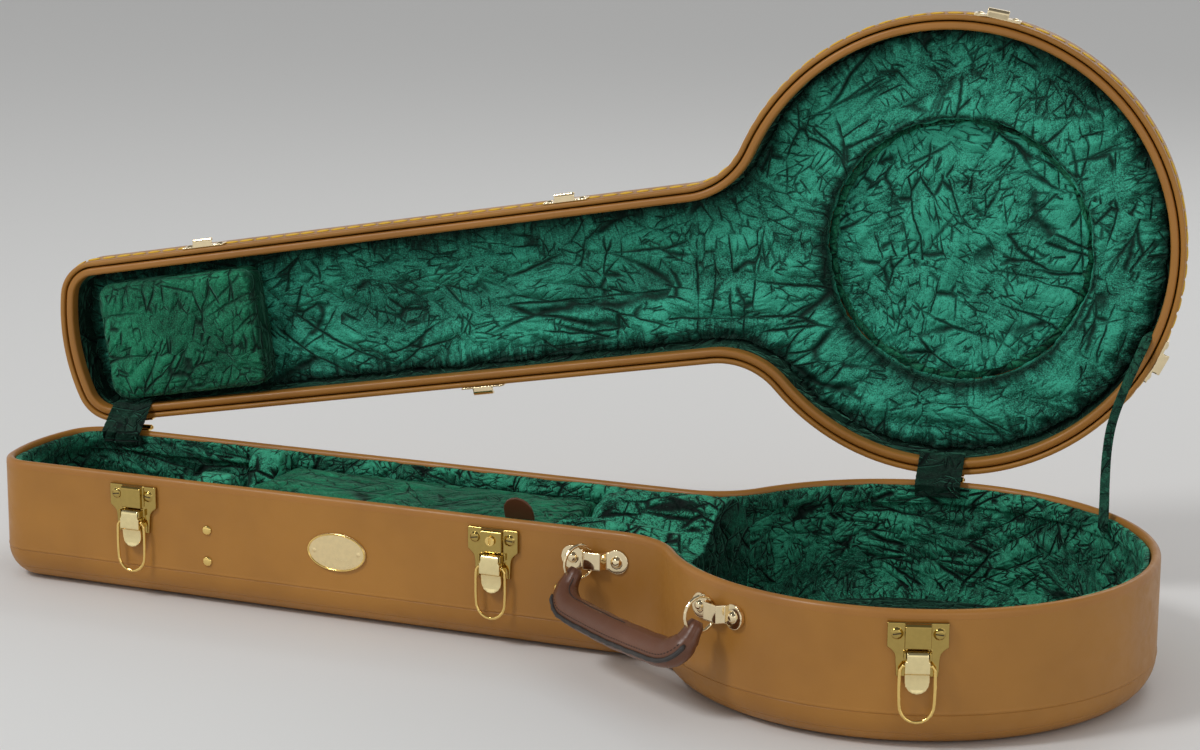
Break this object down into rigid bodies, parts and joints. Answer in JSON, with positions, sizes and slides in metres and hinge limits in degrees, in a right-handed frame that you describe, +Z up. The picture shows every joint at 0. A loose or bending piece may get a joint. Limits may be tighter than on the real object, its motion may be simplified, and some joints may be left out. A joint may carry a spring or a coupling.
{
  "type": "banjo case",
  "caption": "Shaped hard case for a banjo with a hinged lid, draw latches, a carrying handle, a plush-lined well for the pot, a neck cradle and a lidded compartment.",
  "frame": {"origin": "on the underside of the base, below the centre of the round bout", "axes": "+X from the neck end to the round end, +Y to the hinge side, +Z up; the lid stands open"},
  "size_m": [1.051, 0.4931, 0.5196],
  "materials": {
    "tan_leatherette": "tan grained leatherette over a plywood shell, satin",
    "rim_leatherette": "tan leatherette stretched over a rounded rim, satin",
    "green_velvet": "emerald crushed plush over padding",
    "gold_hardware": "polished gold-coloured plating on brass",
    "brown_leather": "padded brown leather, satin"
  },
  "bodies": {
    "case_base": {"base_tray": "tan_leatherette", "base_wall": "tan_leatherette", "base_rim": "rim_leatherette", "base_lining": "green_velvet", "bout_floor_pad": "green_velvet", "neck_floor_pad": "green_velvet", "heel_block": "green_velvet", "neck_cradle": "green_velvet", "accessory_ledge_front": "green_velvet", "accessory_ledge_back": "green_velvet", "latch_plate_head": "gold_hardware", "latch_plate_middle": "gold_hardware", "lock_cylinder": "gold_hardware", "latch_plate_front": "gold_hardware", "latch_plate_end": "gold_hardware", "latch_plate_back": "gold_hardware", "badge_plate": "gold_hardware", "cradle_rivet_upper": "gold_hardware", "cradle_rivet_lower": "gold_hardware", "heel_rivet": "gold_hardware", "handle_bracket_left": "gold_hardware", "handle_bracket_right": "gold_hardware", "hinge_leaf_base_head": "gold_hardware", "hinge_pin_head": "gold_hardware", "hinge_flap_head": "green_velvet", "hinge_leaf_base_bout": "gold_hardware", "hinge_pin_bout": "gold_hardware", "hinge_flap_bout": "green_velvet", "stay_strap": "green_velvet"},
    "lid": {"lid_wall": "tan_leatherette", "lid_panel": "tan_leatherette", "lid_valance": "rim_leatherette", "lid_lining": "green_velvet", "lid_pad": "green_velvet", "lid_recess_pad": "green_velvet", "lid_headstock_block": "green_velvet", "catch_head": "gold_hardware", "catch_middle": "gold_hardware", "catch_front": "gold_hardware", "catch_end": "gold_hardware", "catch_back": "gold_hardware", "hinge_leaf_lid_head": "gold_hardware", "hinge_leaf_lid_bout": "gold_hardware"},
    "accessory_lid": {"accessory_lid": "green_velvet", "accessory_tab": "brown_leather"},
    "handle": {"handle_grip": "brown_leather", "handle_ring_left": "gold_hardware", "handle_ring_right": "gold_hardware"},
    "lever_head": {"latch_lever_head": "gold_hardware"},
    "bail_head": {"latch_bail_head": "gold_hardware"},
    "lever_middle": {"latch_lever_middle": "gold_hardware"},
    "bail_middle": {"latch_bail_middle": "gold_hardware"},
    "lever_front": {"latch_lever_front": "gold_hardware"},
    "bail_front": {"latch_bail_front": "gold_hardware"},
    "lever_end": {"latch_lever_end": "gold_hardware"},
    "bail_end": {"latch_bail_end": "gold_hardware"},
    "lever_back": {"latch_lever_back": "gold_hardware"},
    "bail_back": {"latch_bail_back": "gold_hardware"}
  },
  "joints": [
    {"name": "lid_hinge", "type": "hinge", "parent": "case_base", "child": "lid", "pos_m": [-0.03199, 0.20046, 0.1099], "axis": [0.9875, 0.1576, 0], "range_deg": [0, 90], "deforming": ["hinge_flap_head", "hinge_flap_bout", "stay_strap"]},
    {"name": "accessory_lid_hinge", "type": "hinge", "parent": "case_base", "child": "accessory_lid", "pos_m": [-0.445, 0.06087, 0.098], "axis": [1, 0, 0], "range_deg": [-100, 0]},
    {"name": "handle_swing", "type": "hinge", "parent": "case_base", "child": "handle", "pos_m": [-0.17847, -0.14045, 0.085], "axis": [-0.8299, 0.5579, 0], "range_deg": [-30, 110]},
    {"name": "latch_lever_head_hinge", "type": "hinge", "parent": "case_base", "child": "lever_head", "pos_m": [-0.67804, -0.08353, 0.0769], "axis": [1, -0.0054, 0], "range_deg": [-120, 0]},
    {"name": "latch_bail_head_hinge", "type": "hinge", "parent": "lever_head", "child": "bail_head", "pos_m": [-0.67804, -0.08383, 0.0693], "axis": [-1, 0.0054, 0], "range_deg": [0, 175]},
    {"name": "latch_lever_middle_hinge", "type": "hinge", "parent": "case_base", "child": "lever_middle", "pos_m": [-0.33204, -0.08539, 0.0769], "axis": [1, -0.0054, 0], "range_deg": [-120, 0]},
    {"name": "latch_bail_middle_hinge", "type": "hinge", "parent": "lever_middle", "child": "bail_middle", "pos_m": [-0.33204, -0.08569, 0.0693], "axis": [-1, 0.0054, 0], "range_deg": [0, 175]},
    {"name": "latch_lever_front_hinge", "type": "hinge", "parent": "case_base", "child": "lever_front", "pos_m": [0.06742, -0.19582, 0.0769], "axis": [0.9455, 0.3256, 0], "range_deg": [-120, 0]},
    {"name": "latch_bail_front_hinge", "type": "hinge", "parent": "lever_front", "child": "bail_front", "pos_m": [0.06752, -0.1961, 0.0693], "axis": [-0.9455, -0.3256, 0], "range_deg": [0, 175]},
    {"name": "latch_lever_end_hinge", "type": "hinge", "parent": "case_base", "child": "lever_end", "pos_m": [0.16839, 0.12056, 0.0769], "axis": [-0.5821, 0.8131, 0], "range_deg": [-120, 0]},
    {"name": "latch_bail_end_hinge", "type": "hinge", "parent": "lever_end", "child": "bail_end", "pos_m": [0.16864, 0.12073, 0.0693], "axis": [0.5821, -0.8131, 0], "range_deg": [0, 175]},
    {"name": "latch_lever_back_hinge", "type": "hinge", "parent": "case_base", "child": "lever_back", "pos_m": [-0.43404, 0.08484, 0.0769], "axis": [-1, -0.0054, 0], "range_deg": [-120, 0]},
    {"name": "latch_bail_back_hinge", "type": "hinge", "parent": "lever_back", "child": "bail_back", "pos_m": [-0.43404, 0.08514, 0.0693], "axis": [1, 0.0054, 0], "range_deg": [0, 175]}
  ]
}
